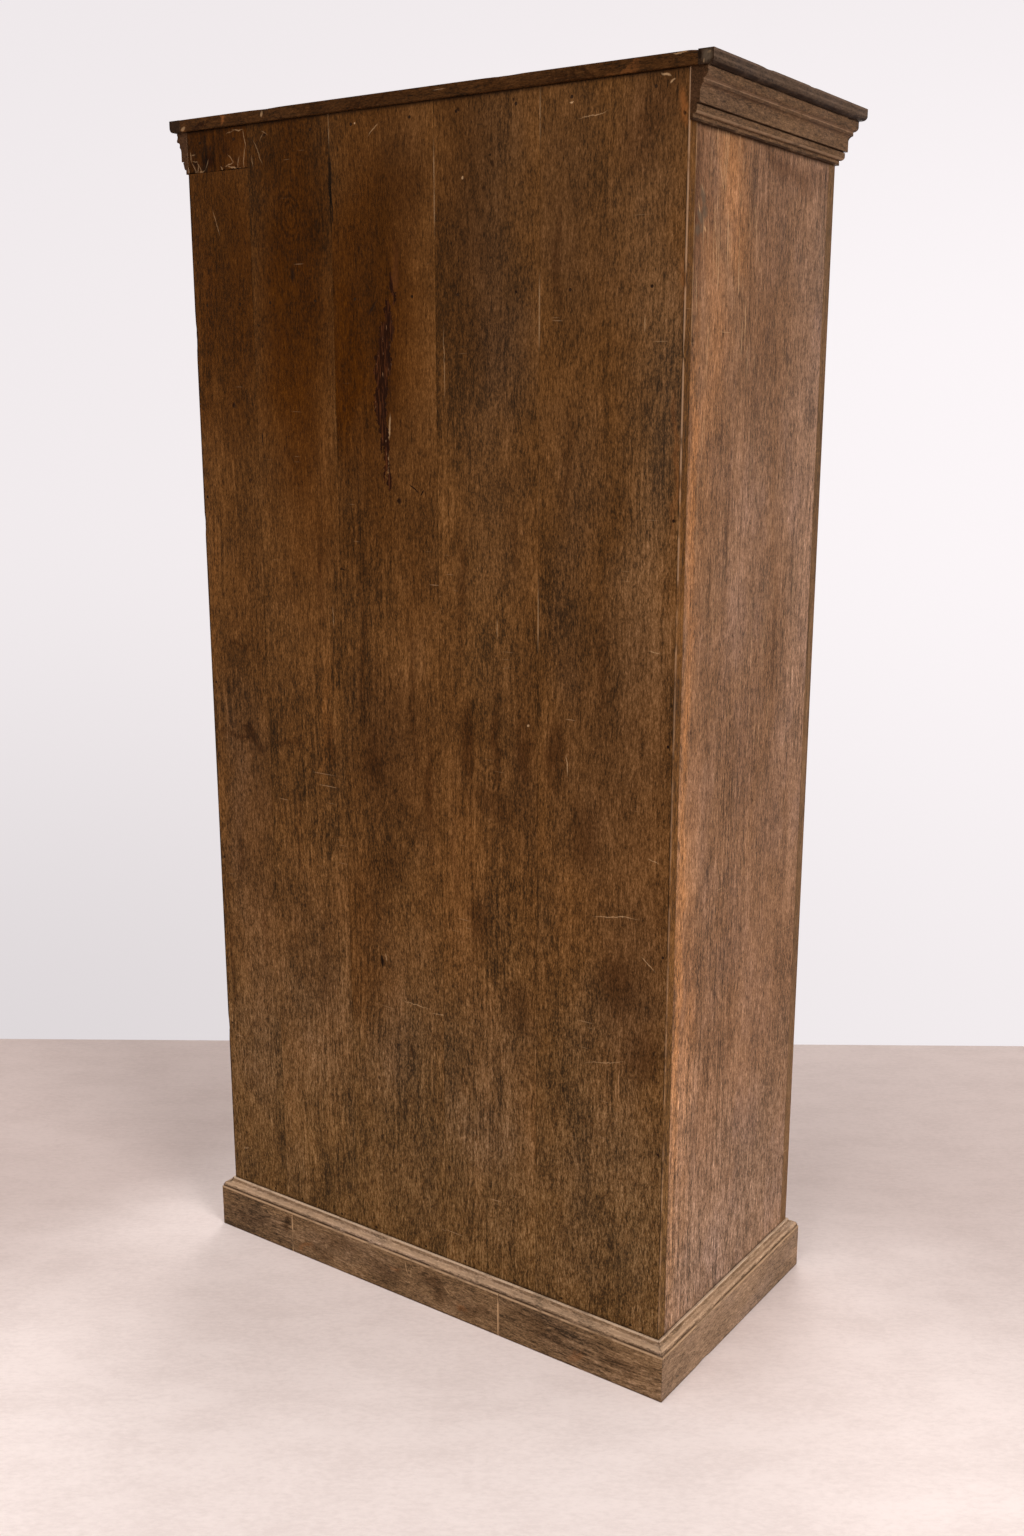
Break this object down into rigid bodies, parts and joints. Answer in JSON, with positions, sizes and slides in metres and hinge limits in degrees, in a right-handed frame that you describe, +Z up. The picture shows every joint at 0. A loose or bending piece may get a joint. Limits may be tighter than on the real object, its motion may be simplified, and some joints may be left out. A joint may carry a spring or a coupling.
{
  "type": "wardrobe",
  "caption": "Old wooden wardrobe on a plinth, with a moulded cornice, a boarded back, panelled doors with lock and bolts, a hat shelf and a hanging rail.",
  "frame": {"origin": "on the floor, at the middle of the whole outline seen from above, doors shut", "axes": "+X to the right as seen from the front, +Y from the doors towards the back, +Z up"},
  "size_m": [1.042, 0.53, 2.05],
  "materials": {
    "back_wood": "old, bare and stained, with fine upright grain",
    "case_wood": "old worn wax, upright grain",
    "trim_wood": "old worn wax, grain along the mouldings",
    "door_wood": "old wax with a low sheen",
    "inside_wood": "bare, dry and dusty",
    "brass": "dull, aged",
    "iron": "dark, slightly rusty"
  },
  "bodies": {
    "carcass": {"left_side": "case_wood", "right_side": "case_wood", "back_board_1": "back_wood", "back_board_2": "back_wood", "back_board_3": "back_wood", "back_board_4": "back_wood", "back_board_5": "back_wood", "back_corner_patch": "back_wood", "top_board": "trim_wood", "top_edging_left": "trim_wood", "top_edging_right": "trim_wood", "top_edging_front": "trim_wood", "cornice_left": "trim_wood", "cornice_right": "trim_wood", "cornice_front": "trim_wood", "frame_upright_left": "door_wood", "frame_upright_right": "door_wood", "frame_top_rail": "door_wood", "plinth_front": "trim_wood", "plinth_left": "trim_wood", "plinth_right": "trim_wood", "plinth_back_1": "trim_wood", "plinth_back_2": "trim_wood", "plinth_back_3": "trim_wood", "plinth_mouldings": "trim_wood", "floor_board": "inside_wood", "hat_shelf": "inside_wood", "battens": "inside_wood", "hanging_rail": "inside_wood", "rail_sockets": "brass", "back_nails": "iron", "frame_hinge_leaves": "brass", "hinge_pins": "brass", "frame_screws": "iron"},
    "left_door": {"left_door_hinge_stile": "door_wood", "left_door_meeting_stile": "door_wood", "left_door_top_rail": "door_wood", "left_door_middle_rail": "door_wood", "left_door_bottom_rail": "door_wood", "left_door_upper_panel": "door_wood", "left_door_lower_panel": "door_wood", "left_door_hinge_leaves": "brass", "left_door_screws": "iron", "bolt_plates": "brass"},
    "right_door": {"right_door_hinge_stile": "door_wood", "right_door_meeting_stile": "door_wood", "right_door_top_rail": "door_wood", "right_door_middle_rail": "door_wood", "right_door_bottom_rail": "door_wood", "right_door_upper_panel": "door_wood", "right_door_lower_panel": "door_wood", "right_door_hinge_leaves": "brass", "right_door_screws": "iron", "lock_case": "brass", "keyhole_plate": "brass", "door_knob": "brass"},
    "top_bolt": {"top_bolt": "iron"},
    "bottom_bolt": {"bottom_bolt": "iron"},
    "key": {"key": "iron"},
    "lock_bolt": {"lock_bolt": "brass"}
  },
  "joints": [
    {"name": "left_door_swing", "type": "hinge", "parent": "carcass", "child": "left_door", "pos_m": [-0.434, -0.2345, 1], "axis": [0, 0, -1], "range_deg": [0, 180]},
    {"name": "right_door_swing", "type": "hinge", "parent": "carcass", "child": "right_door", "pos_m": [0.434, -0.2345, 1], "axis": [0, 0, 1], "range_deg": [0, 180]},
    {"name": "top_bolt_slide", "type": "slide", "parent": "left_door", "child": "top_bolt", "axis": [0, 0, 1], "range_m": [0, 0.014]},
    {"name": "bottom_bolt_slide", "type": "slide", "parent": "left_door", "child": "bottom_bolt", "axis": [0, 0, -1], "range_m": [0, 0.014]},
    {"name": "key_turn", "type": "hinge", "parent": "right_door", "child": "key", "pos_m": [0.017, -0.22, 1.01], "axis": [0, -1, 0], "range_deg": [0, 180]},
    {"name": "lock_bolt_slide", "type": "slide", "parent": "right_door", "child": "lock_bolt", "axis": [-1, 0, 0], "range_m": [0, 0.008]}
  ],
  "couplings": [
    {"joint": "lock_bolt_slide", "follows": "key_turn", "m_per_rad": 0.0025465}
  ]
}
